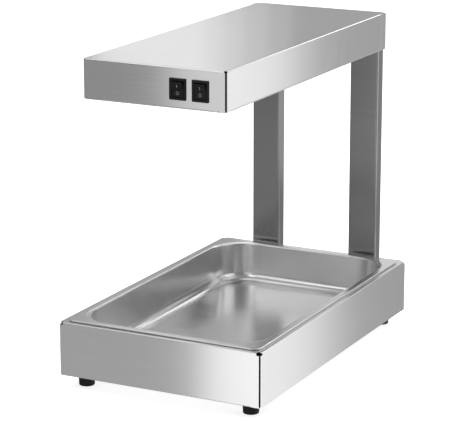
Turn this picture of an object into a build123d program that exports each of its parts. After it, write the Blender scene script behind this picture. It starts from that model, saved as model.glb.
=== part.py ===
from build123d import *
import math
import os

# Chip warmer: a stainless base with a lift-out gastronorm pan, and a heated
# hood carried over it by two posts.  Millimetres; +X right, +Y back, +Z up.
# The origin is on the ground, under the middle of the whole warmer.

# ---------------------------------------------------------------- driving sizes
pan_length = 530.0          # gastronorm 1/1, over the rim
pan_width = 325.0
pan_depth = 65.0
pan_front_margin = 8.0      # base edge to the rim
pan_rear_margin = 12.0
pan_side_margin = 7.5
base_height = 84.0          # panel height, without the feet
base_lift = 20.0            # ground to the base's lower edge
hood_width = 235.0
hood_height = 60.0
serving_height = 350.0      # base top to hood underside
hood_overhang = 4.0         # hood front ahead of the base front
post_width = 50.0
post_depth = 22.0
post_side_inset = 3.0       # posts' outer faces inside the hood's sides
post_wall = 1.5
post_corner = 3.0
sheet = 1.2                 # folded stainless panels
thin_sheet = 0.8            # pan, reflector, tray and shield
plate = 1.0                 # screwed-on bottom plates
bend = 2.0                  # outer radius of a fold
seam = 2.3                  # open corner between two folded walls
relief = 6.5                # square bend relief in the top sheet's corners
relief_depth = 3.0          # relief's lower edge under the top sheet's face
past = 1.0                  # how far cutters run past the material
base_flange = 15.0          # inward fold along the base's lower edge
hood_flange = 12.0          # inward fold along the hood's lower edge
plate_inset = 3.0           # bottom plates lie inside the walls by this much
move_gap = 0.3              # clearance between bodies that move apart

# ---------------------------------------------------------------- main planes
base_width = pan_width + 2 * pan_side_margin
base_depth = pan_front_margin + pan_length + pan_rear_margin
total_depth = hood_overhang + base_depth + post_depth + sheet
post_spread = hood_width - 2 * post_side_inset
hood_front = -total_depth / 2
base_front = hood_front + hood_overhang
base_rear = base_front + base_depth
base_mid = (base_front + base_rear) / 2
post_rear = base_rear + post_depth
hood_rear = post_rear + sheet
base_low = base_lift
base_top = base_low + base_height
hood_low = base_top + serving_height
hood_top = hood_low + hood_height
post_x = post_spread / 2 - post_width / 2
post_y = base_rear + post_depth / 2

# ---------------------------------------------------------------- pan
rim_corner = 14.0
rim_width = 12.5            # rim edge to the pan wall
rim_height = 2.7            # turned-down rim, top to lower edge
rim_round = 1.6
pan_corner = 40.0           # plan radius of the inner corners at the mouth
mouth_round = 4.0
wall_depth = 49.0           # mouth to the upper line of the cove
wall_lean = 5.0             # how far the wall leans in over that depth
cove_width = 10.0           # sloped cove between wall and floor, in plan
cove_round = 5.0
pan_clearance = 2.2         # round the pan's body in the base's opening
level_slack = 0.01          # edges this near a height count as lying at it
pan_mid = base_front + pan_front_margin + pan_length / 2
rim_low = base_top + move_gap
rim_top = rim_low + rim_height
pan_bottom = rim_top - pan_depth

# ---------------------------------------------------------------- feet and bottom plate
foot_inset = 30.0
foot_width = 26.0
foot_toe = 24.0
foot_recess = 12.0
foot_recess_depth = 8.0
foot_screw = 5.0
foot_hole = 5.4
foot_toe_round = 1.2
foot_screw_head = 10.0
foot_screw_head_height = 3.0
foot_screw_reach = 7.0      # above the bottom plate
foot_nut_flats = 8.1
foot_nut_height = 4.0
foot_top = base_low - plate
screw_small = 4.0           # panel screws
screw_head = 7.5
screw_head_height = 2.0
screw_length = 8.0
screw_hole = 4.2
head_rounding = 0.6         # a round head's edge radius over its height
side_screw_inset = 80.0     # side screws from the line of the end screws
end_screw_spacing = 160.0
vent_length = 40.0
vent_width = 4.0
vent_pitch = 12.0
vent_count = 6
vent_spacing = 275.0        # between the front and rear groups

# ---------------------------------------------------------------- base heater
rail_height = 4.0
rail_width = 24.0
rail_lip = 8.0
rail_inset = 58.8           # rails' middles from the tray's ends
tray_setback = 6.0          # tray's middle ahead of the pan's
tray_side_room = 42.5       # tray inside the pan's rim, each side
tray_end_room = 55.0        # and each end
tray_width = pan_width - 2 * tray_side_room
tray_length = pan_length - 2 * tray_end_room
tray_edge = 6.0
element_width = 6.5
element_pitch = 46.0        # between neighbouring runs
element_runs = 4
element_end_room = 35.0     # straight runs inside the tray, each end
element_length = tray_length - 2 * element_end_room
element_tail = 24.0
tail_notch = 5.0            # notch in the tray's rear edge, ahead of the edge
tail_clearance = 1.0
element_cap = 9.5           # insulated end on each tail
element_cap_length = 4.0
clip_width = 10.0
clip_sheet = 0.8
clip_foot = 5.0
clip_inset = 70.0           # clips from the ends of the straight runs
limiter_width = 16.0
limiter_height = 8.0
limiter_ears = 24.0         # over the two fixing ears
limiter_ear_width = 10.0
limiter_nose = 1.0          # terminal housing in front of the round body
limiter_tab_width = 4.8
tab_width = 6.3
tab_sheet = 0.8
tab_length = 8.0

# ---------------------------------------------------------------- base electrics
block_width = 40.0
block_depth = 22.0
block_height = 18.0
block_x = -20.0
block_setback = 1.0         # block ahead of the rear wall's lower flange
block_y = base_rear - base_flange - block_setback - block_depth / 2
block_round = 1.0
pole_hole = 5.0
pole_hole_depth = 8.0
pole_screw = 4.4
pole_screw_length = 5.0
wire_way_height = 8.0       # conductors' way through the block, above its foot
stud_width = 5.0
stud_nut_flats = 8.0
stud_nut_height = 4.0
stud_height = 14.0
stud_x = 18.0
gland_x = 42.0
gland_height = 30.0         # above the base's lower edge
gland_z = base_low + gland_height
gland_thread = 16.0
gland_bore = 8.0
gland_hex = 20.0            # across flats
gland_reach = 21.0          # outside the rear wall
gland_inside = 10.0
gland_hex_length = 5.0
gland_neck = 17.0
gland_neck_length = 2.0
gland_dome_width = 22.4
gland_dome_round = 6.0
locknut_flats = 21.0
locknut_length = 5.0

# ---------------------------------------------------------------- post fixings
bolt = 6.0
bolt_hole = 6.6
bolt_head = 11.0
bolt_head_height = 4.0
bolt_length = 14.0
rivet_body = 9.0
rivet_flange = 12.0
rivet_flange_height = 1.0
rivet_length = 11.0
base_bolt_heights = (18.0, 66.0)     # above the base's lower edge
hood_bolt_heights = (13.0, 51.0)     # above the hood's lower edge
post_foot_gap = 4.0                  # post ends this far above the base's lower edge
post_head_gap = 1.0                  # and this far under the hood's top sheet
cap_screw_heights = (15.0, 45.0)     # above the hood's lower edge
end_cap_sheet = 2.0
end_cap_plug = 8.0
end_cap_clearance = 0.4
end_cap_wall = 1.8
end_cap_corner = 1.0
loom_hole = 14.0
grommet_lip = 17.0
grommet_lip_height = 1.2
loom_width = 7.0
loom_side_step = 13.0       # loom beside the bolts' line, towards the middle
loom_x = -post_x + loom_side_step
loom_height = 42.0          # loom holes above the base's and the hood's lower edges
base_loom_z = base_low + loom_height
hood_loom_z = hood_low + loom_height
loom_wall_gap = 3.0         # loom beside the hood's side wall
loom_bay_gap = 16.0         # loom ahead of the reflector's bay
loom_base_gap = 20.0        # loom ahead of the base's rear wall
loom_post_step = 1.0        # loom behind the post's middle
loom_rear_gap = 22.0        # loom ahead of the hood's bulkhead
loom_switch_gap = 6.0       # loom's end beside the first switch
wide_turn = 15.0            # bends in the open
base_turn = 14.0            # bends between the pan and the rear wall
post_turn = 9.0             # bends inside the post

# ---------------------------------------------------------------- hood inside
mouth_side_room = 27.5      # heat opening inside the hood's sides
mouth_end_room = 110.0      # heat opening shorter than the pan
mouth_width = hood_width - 2 * mouth_side_room
mouth_length = pan_length - mouth_end_room
switch_bay = 62.0           # hood front to the reflector's mouth
mouth_corner = 4.0
floor_screw_inset = 30.0    # end screws from the underside plate's ends
reflector_margin = 10.0     # reflector mouth outside the opening, all round
reflector_flange = 4.5
reflector_crown = 100.0
reflector_height = 42.0
tube_width = 11.0
tube_wall = 1.0
tube_spacing = 76.0
tube_rise = 21.0            # tubes above the hood's lower edge
tube_z = hood_low + tube_rise
tube_seat = 8.0             # glass inside its ceramic end
coil_width = 6.0
ceramic_width = 18.0
ceramic_collar = 22.0
ceramic_collar_length = 3.0
ceramic_length = 22.0
ceramic_inside = 0.2        # share of the ceramic end inside the reflector
pin_width = 3.0
pin_length = 9.0
shield_height = 50.0
shield_side = 4.0           # shield's legs outside the reflector's mouth
guard_wire = 2.5
guard_rail = 3.0
guard_pitch = 30.0
guard_bearing = 5.0         # how far the cross wires lie on the underside plate
guard_rail_inset = 14.0
guard_clip_sheet = 0.8
guard_clip_gap = 0.3        # round the wire in its clip
guard_clip_foot = 8.0       # clip's foot, from the wire's middle
guard_clip_inset = 0.5      # clip from the opening's edge
bulkhead_flange = 12.0
bulkhead_clearance = 1.0    # beside the hood's inward flanges and the posts
cap_seam = 0.8
cap_chamfer = 4.0
cap_flange = 12.0

# ---------------------------------------------------------------- switches
switch_width = 27.0
switch_height = 32.0
switch_spacing = 36.5
switch_mid_x = 57.5
switch_rise = 28.0          # switch middles above the hood's lower edge
switch_z = hood_low + switch_rise
bezel = 2.0
bezel_corner = 1.5
body_width = 22.0
body_height = 28.0
body_depth = 24.0
cutout_clearance = 0.2
window_width = 19.0
rocker_radius = 11.6        # rocker's end face about its pivot
rocker_tilt = 9.0           # each way from level
rocker_width = 18.2
window_clearance = 0.4
pivot_setback = 1.0         # pivot behind the panel's face
pivot_pin = 2.4
pivot_pin_reach = 1.0
pivot_clearance = 0.1
rocker_back = 4.0
cavity_depth = 9.0
rocker_valley = 2.6         # pivot to the valley between the rocker's two faces
terminal_reach = 9.0
terminal_rows = (-8.0, 8.0)
terminal_columns = (-5.0, 5.0)
bezel_rounding = 0.4        # front edge radius over the bezel's thickness
rocker_round = 0.6
pin_end_play = 0.2


# ---------------------------------------------------------------- shared helpers
def block(x0, x1, y0, y1, z0, z1):
    """A box between two corners."""
    centre = ((x0 + x1) / 2, (y0 + y1) / 2, (z0 + z1) / 2)
    return Pos(*centre) * Box(x1 - x0, y1 - y0, z1 - z0)


def rod(width, start, end):
    """A round bar between two points on a line along one axis."""
    line = Edge.make_line(start, end)
    plane = Plane(origin=start, z_dir=line % 0)
    return extrude(plane * Circle(width / 2), line.length)


def rod_up(width, x, y, z0, z1):
    return rod(width, (x, y, z0), (x, y, z1))


def rod_back(width, x, z, y0, y1):
    return rod(width, (x, y0, z), (x, y1, z))


def hexagon_up(flats, x, y, z0, z1):
    face = Pos(x, y, z0) * RegularPolygon(flats / 2, 6, major_radius=False)
    return extrude(face, z1 - z0)


def hexagon_back(flats, x, z, y0, y1):
    plane = Plane(origin=(x, y0, z), z_dir=(0, 1, 0))
    return extrude(plane * RegularPolygon(flats / 2, 6, major_radius=False), y1 - y0)


def rounded_slab(width, length, corner, x, y, z0, z1):
    face = Pos(x, y, z0) * RectangleRounded(width, length, corner)
    return extrude(face, z1 - z0)


def prism_across(outline, x0, x1):
    """A prism from x0 to x1 whose outline is given as (y, z) points."""
    face = Plane.YZ * Polygon(*outline, align=None)
    return Pos((x0 + x1) / 2, 0, 0) * extrude(face, (x1 - x0) / 2, both=True)


def prism_along(outline, y0, y1):
    """A prism from y0 to y1 whose outline is given as (x, z) points."""
    face = Plane(origin=(0, 0, 0), x_dir=(1, 0, 0), z_dir=(0, -1, 0)) * Polygon(
        *outline, align=None)
    return Pos(0, (y0 + y1) / 2, 0) * extrude(face, (y1 - y0) / 2, both=True)


def level_edges(solid):
    """Edges that lie level, at the solid's top and bottom."""
    return solid.edges().filter_by(Axis.Z, reverse=True)


def folded_cover(x_half, y0, y1, z0, z1, flange):
    """A cover folded from one sheet: top, four walls, inward flanges, open corner seams."""
    outer = block(-x_half, x_half, y0, y1, z0, z1)
    outer = fillet(level_edges(outer), bend)
    inner = block(-x_half + sheet, x_half - sheet, y0 + sheet, y1 - sheet, z0 + sheet, z1 - sheet)
    inner = fillet(level_edges(inner), bend - sheet)
    cover = outer - inner
    cover -= block(-x_half + flange, x_half - flange, y0 + flange, y1 - flange, z0 - past,
                   z0 + bend)
    for side in (-1, 1):
        for y_corner, inward in ((y0, 1), (y1, -1)):
            corner = (side * x_half, -side, y_corner, inward)
            cover -= corner_cut(*corner, -past, seam, z0 - past, z1 + past)
            cover -= corner_cut(*corner, -past, relief, z1 - relief_depth, z1 + past)
            cover -= corner_cut(*corner, bend, flange + past, z0 - past, z0 + bend)
    return cover


def corner_cut(x, x_in, y, y_in, start, end, z0, z1):
    """A square cutter at a corner, between two distances inwards from it both ways."""
    xs = sorted((x + x_in * start, x + x_in * end))
    ys = sorted((y + y_in * start, y + y_in * end))
    return block(*xs, *ys, z0, z1)


def countersink(x, y, face):
    """The cone of a countersunk head that lies flush with a plate's lower face."""
    cone = Cone(screw_head / 2, screw_small / 2, screw_head_height)
    return Pos(x, y, face + screw_head_height / 2) * cone


def panel_screw_up(x, y, face):
    """A countersunk screw driven upwards, flush with a plate's lower face."""
    return countersink(x, y, face) + rod_up(screw_small, x, y, face, face + screw_length)


def panel_screw_forward(x, z, seat):
    """A pan-head screw driven forwards; its head's front face is at y = seat."""
    head = rod_back(screw_head, x, z, seat, seat + screw_head_height)
    head = fillet(head.edges().group_by(Axis.Y)[-1], screw_head_height * head_rounding)
    return head + rod_back(screw_small, x, z, seat - screw_length, seat)


nodes = {}

# ---------------------------------------------------------------- base shell
half_base = base_width / 2
opening_width = pan_width - 2 * rim_width + 2 * (thin_sheet + pan_clearance)
opening_length = pan_length - 2 * rim_width + 2 * (thin_sheet + pan_clearance)
opening_corner = pan_corner + thin_sheet + pan_clearance

base_shell = folded_cover(half_base, base_front, base_rear, base_low, base_top, base_flange)
base_shell -= rounded_slab(opening_width, opening_length, opening_corner, 0, pan_mid,
                           base_top - bend, base_top + past)
for side in (-1, 1):
    for height in base_bolt_heights:
        base_shell -= rod_back(bolt_hole, side * post_x, base_low + height,
                               base_rear - bend, base_rear + past)
base_shell -= rod_back(loom_hole, loom_x, base_loom_z, base_rear - bend, base_rear + past)
base_shell -= rod_back(gland_thread, gland_x, gland_z, base_rear - bend, base_rear + past)

plate_screw_x = half_base - base_flange / 2
plate_screw_y = base_depth / 2 - base_flange / 2
plate_screws = [(side * plate_screw_x, base_mid + end * (plate_screw_y - side_screw_inset))
                for side in (-1, 1) for end in (-1, 1)]
plate_screws += [(side * end_screw_spacing / 2, base_mid + end * plate_screw_y)
                 for side in (-1, 1) for end in (-1, 1)]
for x, y in plate_screws:
    base_shell -= rod_up(screw_small, x, y, base_low - past, base_low + bend)
    base_shell -= countersink(x, y, foot_top)
nodes["base_shell"] = base_shell

# ---------------------------------------------------------------- bottom plate, feet
feet = [(side * (half_base - foot_inset), base_mid + end * (base_depth / 2 - foot_inset))
        for side in (-1, 1) for end in (-1, 1)]
bottom_plate = block(-half_base + plate_inset, half_base - plate_inset, base_front + plate_inset,
                     base_rear - plate_inset, foot_top, base_low)
for x, y in plate_screws:
    bottom_plate -= countersink(x, y, foot_top)
for x, y in feet:
    bottom_plate -= rod_up(foot_hole, x, y, foot_top - past, base_low + past)
for end in (-1, 1):
    for index in range(vent_count):
        x = (index - (vent_count - 1) / 2) * vent_pitch
        slot = Pos(x, base_mid + end * vent_spacing / 2, foot_top - past) * SlotOverall(
            vent_length, vent_width, rotation=90)
        bottom_plate -= extrude(slot, plate + 2 * past)
bottom_plate -= rod_up(foot_screw, stud_x, block_y, foot_top - past, base_low + past)
nodes["base_bottom_plate"] = bottom_plate
nodes["bottom_plate_screws"] = [panel_screw_up(x, y, foot_top) for x, y in plate_screws]


def rubber_foot(x, y):
    toe = Pos(x, y, 0) * Circle(foot_toe / 2)
    top = Pos(x, y, foot_top) * Circle(foot_width / 2)
    foot = loft([toe, top])
    foot = fillet(foot.edges().group_by(Axis.Z)[0], foot_toe_round)
    foot -= rod_up(foot_recess, x, y, -past, foot_recess_depth)
    return foot - rod_up(foot_hole, x, y, 0, foot_top + past)


def foot_screw_solid(x, y):
    head = rod_up(foot_screw_head, x, y, foot_recess_depth - foot_screw_head_height,
                  foot_recess_depth)
    return head + rod_up(foot_screw, x, y, foot_recess_depth, base_low + foot_screw_reach)


def foot_nut(x, y):
    nut = hexagon_up(foot_nut_flats, x, y, base_low, base_low + foot_nut_height)
    return nut - rod_up(foot_screw, x, y, base_low - past, base_low + foot_screw_reach)


nodes["rubber_feet"] = [rubber_foot(x, y) for x, y in feet]
nodes["foot_screws"] = [foot_screw_solid(x, y) for x, y in feet]
nodes["foot_nuts"] = [foot_nut(x, y) for x, y in feet]

# ---------------------------------------------------------------- gastronorm pan
def pan_sections(grow):
    """Rounded outlines of the pan's hollow, from mouth to floor, grown outwards by grow."""
    mouth_w = pan_width - 2 * rim_width + 2 * grow
    mouth_l = pan_length - 2 * rim_width + 2 * grow
    lean = 2 * wall_lean
    cove = lean + 2 * cove_width
    return [(mouth_w, mouth_l, pan_corner + grow, rim_top),
            (mouth_w - lean, mouth_l - lean, pan_corner - wall_lean + grow, rim_top - wall_depth),
            (mouth_w - cove, mouth_l - cove, pan_corner - wall_lean - cove_width + grow,
             pan_bottom + thin_sheet - grow)]


def pan_body(grow):
    faces = [Pos(0, pan_mid, z) * RectangleRounded(w, l, r) for w, l, r, z in pan_sections(grow)]
    upper = loft([faces[0], faces[1]], ruled=True)
    lower = loft([faces[1], faces[2]], ruled=True)
    body = upper + lower
    cove_top = [e for e in body.edges() if abs(e.center().Z - faces[1].center().Z) < level_slack]
    body = fillet(cove_top, cove_round + grow)
    floor_edge = body.edges().group_by(Axis.Z)[0]
    return fillet(floor_edge, cove_round + grow)


def mouth_loop(solid, z):
    """The edges at height z that run round the pan's mouth, inside the rim."""
    reach_x = pan_width / 2 - rim_width + thin_sheet + past
    reach_y = pan_length / 2 - rim_width + thin_sheet + past
    return [edge for edge in solid.edges() if abs(edge.center().Z - z) < level_slack
            and abs(edge.center().X) < reach_x and abs(edge.center().Y - pan_mid) < reach_y]


rim = rounded_slab(pan_width, pan_length, rim_corner, 0, pan_mid, rim_low, rim_top)
rim = fillet(rim.edges().group_by(Axis.Z)[-1], rim_round)
rim -= rounded_slab(pan_width - 2 * thin_sheet, pan_length - 2 * thin_sheet,
                    rim_corner - thin_sheet, 0, pan_mid, rim_low - past, rim_top - thin_sheet)
pan = rim + pan_body(thin_sheet)
pan = fillet(mouth_loop(pan, rim_top - thin_sheet), mouth_round)
pan -= pan_body(0)
pan = fillet(mouth_loop(pan, rim_top), mouth_round + thin_sheet)
nodes["gn_pan"] = pan

# ---------------------------------------------------------------- base heater
rail_low = base_low
tray_low = rail_low + rail_height
tray_top = tray_low + thin_sheet
element_z = tray_top + element_width / 2


def hat_rail(y):
    """A hat-section rail across the base, under the tray."""
    rail = block(-tray_width / 2, tray_width / 2, y - rail_width / 2, y + rail_width / 2,
                 rail_low, tray_low)
    rail -= block(-tray_width, tray_width, y - rail_width / 2 + thin_sheet,
                  y + rail_width / 2 - thin_sheet, rail_low - past, tray_low - thin_sheet)
    for side in (-1, 1):
        edge = y + side * rail_width / 2
        ys = sorted((edge - side * thin_sheet, edge + side * rail_lip))
        rail += block(-tray_width / 2, tray_width / 2, ys[0], ys[1], rail_low,
                      rail_low + thin_sheet)
    return rail


tray_mid = pan_mid - tray_setback
tray = block(-tray_width / 2, tray_width / 2, tray_mid - tray_length / 2,
             tray_mid + tray_length / 2, tray_low, tray_low + tray_edge)
tray -= block(-tray_width / 2 + thin_sheet, tray_width / 2 - thin_sheet,
              tray_mid - tray_length / 2 + thin_sheet, tray_mid + tray_length / 2 - thin_sheet,
              tray_top, tray_low + tray_edge + past)
nodes["tray_rails"] = [hat_rail(tray_mid + end * (tray_length / 2 - rail_inset))
                       for end in (-1, 1)]

run_x = [(index - (element_runs - 1) / 2) * element_pitch for index in range(element_runs)]
element_front = tray_mid - element_length / 2
element_rear = tray_mid + element_length / 2
element_end = tray_mid + tray_length / 2 + element_tail


def element_path():
    """Straight runs joined by half-circle bends, with both tails to the rear."""
    pieces = [Line((run_x[0], element_end), (run_x[0], element_front))]
    for index in range(element_runs - 1):
        y = element_front if index % 2 == 0 else element_rear
        turn = -1 if index % 2 == 0 else 1
        middle = ((run_x[index] + run_x[index + 1]) / 2, y + turn * element_pitch / 2)
        pieces.append(ThreePointArc((run_x[index], y), middle, (run_x[index + 1], y)))
        last = index == element_runs - 2
        target = element_end if last else (element_rear if index % 2 == 0 else element_front)
        pieces.append(Line((run_x[index + 1], y), (run_x[index + 1], target)))
    return Wire(pieces).moved(Location((0, 0, element_z)))


tray_rear = tray_mid + tray_length / 2
notch_half = element_width / 2 + tail_clearance
tray -= [block(x - notch_half, x + notch_half, tray_rear - tail_notch, tray_rear + past,
               tray_top, tray_low + tray_edge + past) for x in (run_x[0], run_x[-1])]
nodes["heater_tray"] = tray
path = element_path()
start = path @ 0
element = sweep(Plane(origin=start, z_dir=path % 0) * Circle(element_width / 2), path=path)
nodes["base_element"] = element
nodes["element_terminals"] = [
    rod_back(element_cap, x, element_z, element_end, element_end + element_cap_length)
    + block(x - tab_width / 2, x + tab_width / 2, element_end + element_cap_length,
            element_end + element_cap_length + tab_length,
            element_z - tab_sheet / 2, element_z + tab_sheet / 2)
    for x in (run_x[0], run_x[-1])]


def element_clip(x, y):
    """A saddle strip over one run, with a foot on each side."""
    outer = element_width + 2 * clip_sheet
    saddle = rod_back(outer, x, element_z, y - clip_width / 2, y + clip_width / 2)
    saddle += block(x - outer / 2, x + outer / 2, y - clip_width / 2, y + clip_width / 2,
                    tray_top, element_z)
    saddle += block(x - outer / 2 - clip_foot, x + outer / 2 + clip_foot, y - clip_width / 2,
                    y + clip_width / 2, tray_top, tray_top + clip_sheet)
    saddle -= rod_back(element_width, x, element_z, y - clip_width, y + clip_width)
    saddle -= block(x - element_width / 2, x + element_width / 2, y - clip_width,
                    y + clip_width, tray_top - past, element_z)
    return saddle & block(x - 2 * outer, x + 2 * outer, y - clip_width, y + clip_width,
                          tray_top, element_z + outer)


nodes["element_clips"] = [element_clip(x, tray_mid + end * (element_length / 2 - clip_inset))
                          for x in run_x for end in (-1, 1)]

limiter = rod_up(limiter_width, 0, tray_mid, tray_top, tray_top + limiter_height)
limiter += block(-limiter_ears / 2, limiter_ears / 2, tray_mid - limiter_ear_width / 2,
                 tray_mid + limiter_ear_width / 2, tray_top, tray_top + thin_sheet)
limiter_face = tray_mid + limiter_width / 2 + limiter_nose
nose_half = (limiter_width - limiter_nose) / 2
limiter += block(-nose_half, nose_half, tray_mid, limiter_face,
                 tray_top + limiter_height / 2, tray_top + limiter_height)
nodes["thermal_limiter"] = limiter
tab_low = tray_top + limiter_height * 3 / 4 - tab_sheet / 2
nodes["limiter_tabs"] = [
    block(x - limiter_tab_width / 2, x + limiter_tab_width / 2, limiter_face,
          limiter_face + tab_length, tab_low, tab_low + tab_sheet)
    for x in (-limiter_width / 4, limiter_width / 4)]

# ---------------------------------------------------------------- base electrics
terminal_block = block(block_x - block_width / 2, block_x + block_width / 2,
                       block_y - block_depth / 2, block_y + block_depth / 2,
                       base_low, base_low + block_height)
terminal_block = fillet(terminal_block.edges().group_by(Axis.Z)[-1], block_round)
block_top = base_low + block_height
pole_x = [block_x + side * block_width / 3 for side in (-1, 0, 1)]
for x in pole_x:
    terminal_block -= rod_up(pole_hole, x, block_y, block_top - pole_hole_depth,
                             block_top + past)
    terminal_block -= rod_back(pole_hole, x, base_low + wire_way_height,
                               block_y - block_depth, block_y + block_depth)
nodes["terminal_block"] = terminal_block
screw_seat = block_top - pole_hole_depth
nodes["terminal_screws"] = [rod_up(pole_screw, x, block_y, screw_seat,
                                   screw_seat + pole_screw_length) for x in pole_x]

nodes["earth_stud"] = rod_up(stud_width, stud_x, block_y, foot_top, base_low + stud_height)
earth_nut = hexagon_up(stud_nut_flats, stud_x, block_y, base_low, base_low + stud_nut_height)
nodes["earth_nut"] = earth_nut - rod_up(stud_width, stud_x, block_y, base_low - past,
                                        base_low + stud_height)

inner_face = base_rear - sheet
neck_start = base_rear + gland_hex_length
dome_start = neck_start + gland_neck_length
gland_end = base_rear + gland_reach
gland = rod_back(gland_thread, gland_x, gland_z, inner_face - gland_inside, base_rear)
gland += hexagon_back(gland_hex, gland_x, gland_z, base_rear, neck_start)
gland += rod_back(gland_neck, gland_x, gland_z, neck_start, dome_start)
dome = rod_back(gland_dome_width, gland_x, gland_z, dome_start, gland_end)
dome = fillet(dome.edges().group_by(Axis.Y)[-1], gland_dome_round)
gland += dome & hexagon_back(gland_hex, gland_x, gland_z, dome_start, gland_end)
gland -= rod_back(gland_bore, gland_x, gland_z, inner_face - gland_inside - past,
                  gland_end + past)
nodes["cable_gland"] = gland
locknut = hexagon_back(locknut_flats, gland_x, gland_z, inner_face - locknut_length, inner_face)
nodes["gland_locknut"] = locknut - rod_back(gland_thread, gland_x, gland_z,
                                            inner_face - gland_inside, inner_face + past)

# ---------------------------------------------------------------- posts
post_low = base_low + post_foot_gap
post_high = hood_top - sheet - post_head_gap
bolt_z = [base_low + height for height in base_bolt_heights]
bolt_z += [hood_low + height for height in hood_bolt_heights]
cap_screw_z = [hood_low + height for height in cap_screw_heights]


def post(side):
    """A rounded rectangular tube, drilled in front for its rivet nuts and behind for the cap."""
    x = side * post_x
    tube = rounded_slab(post_width, post_depth, post_corner, x, post_y, post_low, post_high)
    tube -= rounded_slab(post_width - 2 * post_wall, post_depth - 2 * post_wall,
                         post_corner - post_wall, x, post_y, post_low - past, post_high + past)
    for z in bolt_z:
        tube -= rod_back(rivet_body, x, z, base_rear - past, base_rear + post_wall + past)
    for z in cap_screw_z:
        tube -= rod_back(screw_small, x, z, post_rear - post_wall - past, post_rear + past)
    if side < 0:
        for z in (base_loom_z, hood_loom_z):
            tube -= rod_back(loom_hole, loom_x, z, base_rear - past, base_rear + post_wall + past)
    return tube


nodes["post_left"] = post(-1)
nodes["post_right"] = post(1)


def post_end_cap(side):
    """A plastic plug that closes the post's open lower end."""
    x = side * post_x
    flat = rounded_slab(post_width, post_depth, post_corner, x, post_y,
                        post_low - end_cap_sheet, post_low)
    plug_inset = 2 * post_wall + end_cap_clearance
    plug = rounded_slab(post_width - plug_inset, post_depth - plug_inset,
                        post_corner - post_wall, x, post_y, post_low, post_low + end_cap_plug)
    hollow_inset = plug_inset + 2 * end_cap_wall
    hollow = rounded_slab(post_width - hollow_inset, post_depth - hollow_inset, end_cap_corner,
                          x, post_y, post_low + past, post_low + end_cap_plug + past)
    return flat + plug - hollow


nodes["post_end_caps"] = [post_end_cap(side) for side in (-1, 1)]


def rivet_nut(x, z):
    """A blind rivet nut in the post's front wall; its flange lies inside the post."""
    nut = rod_back(rivet_body, x, z, base_rear, base_rear + post_wall)
    nut += rod_back(rivet_flange, x, z, base_rear + post_wall,
                    base_rear + post_wall + rivet_flange_height)
    nut += rod_back(rivet_body, x, z, base_rear, base_rear + rivet_length)
    return nut - rod_back(bolt, x, z, base_rear - past, base_rear + rivet_length + past)


def post_bolt(x, z, seat):
    """A button-head bolt from inside the base or hood into a rivet nut."""
    head = rod_back(bolt_head, x, z, seat - bolt_head_height, seat)
    head = fillet(head.edges().group_by(Axis.Y)[0], bolt_head_height * head_rounding)
    return head + rod_back(bolt, x, z, seat, seat + bolt_length)


bolt_seats = [(side * post_x, z) for side in (-1, 1) for z in bolt_z]
nodes["rivet_nuts"] = [rivet_nut(x, z) for x, z in bolt_seats]
nodes["post_bolts"] = [post_bolt(x, z, base_rear - sheet) for x, z in bolt_seats]


def grommet(z):
    """A rubber bush through the panel and the post's front wall."""
    bush = rod_back(loom_hole, loom_x, z, base_rear - sheet, base_rear + post_wall)
    bush += rod_back(grommet_lip, loom_x, z, base_rear - sheet - grommet_lip_height,
                     base_rear - sheet)
    bush += rod_back(grommet_lip, loom_x, z, base_rear + post_wall,
                     base_rear + post_wall + grommet_lip_height)
    return bush - rod_back(loom_width, loom_x, z, base_rear - sheet - grommet_lip_height - past,
                           base_rear + post_wall + grommet_lip_height + past)


nodes["loom_grommets"] = [grommet(z) for z in (base_loom_z, hood_loom_z)]

# ---------------------------------------------------------------- hood shell
half_hood = hood_width / 2
hood_shell = folded_cover(half_hood, hood_front, hood_rear, hood_low, hood_top, hood_flange)
hood_shell -= block(-half_hood - past, half_hood + past, base_rear, hood_rear + past,
                    hood_low - past, hood_top - sheet)
switch_x = [switch_mid_x - switch_spacing / 2, switch_mid_x + switch_spacing / 2]
for x in switch_x:
    hood_shell -= block(x - body_width / 2 - cutout_clearance,
                        x + body_width / 2 + cutout_clearance, hood_front - past,
                        hood_front + bend, switch_z - body_height / 2 - cutout_clearance,
                        switch_z + body_height / 2 + cutout_clearance)

mouth_front = hood_front + switch_bay + reflector_margin
mouth_rear = mouth_front + mouth_length
mouth_mid = (mouth_front + mouth_rear) / 2
floor_rear = base_rear - plate_inset
floor_screw_x = half_hood - hood_flange / 2
floor_screws = [(side * floor_screw_x, y) for side in (-1, 1)
                for y in (hood_front + floor_screw_inset, mouth_mid,
                          floor_rear - floor_screw_inset)]
for x, y in floor_screws:
    hood_shell -= rod_up(screw_small, x, y, hood_low - past, hood_low + bend)
    hood_shell -= countersink(x, y, hood_low - plate)
nodes["hood_shell"] = hood_shell

# ---------------------------------------------------------------- hood underside plate
floor_low = hood_low - plate
hood_floor = block(-half_hood + plate_inset, half_hood - plate_inset,
                   hood_front + plate_inset, floor_rear, floor_low, hood_low)
hood_floor -= rounded_slab(mouth_width, mouth_length, mouth_corner, 0, mouth_mid,
                           floor_low - past, hood_low + past)
for x, y in floor_screws:
    hood_floor -= countersink(x, y, floor_low)
nodes["hood_floor"] = hood_floor
nodes["hood_floor_screws"] = [panel_screw_up(x, y, floor_low) for x, y in floor_screws]

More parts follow.
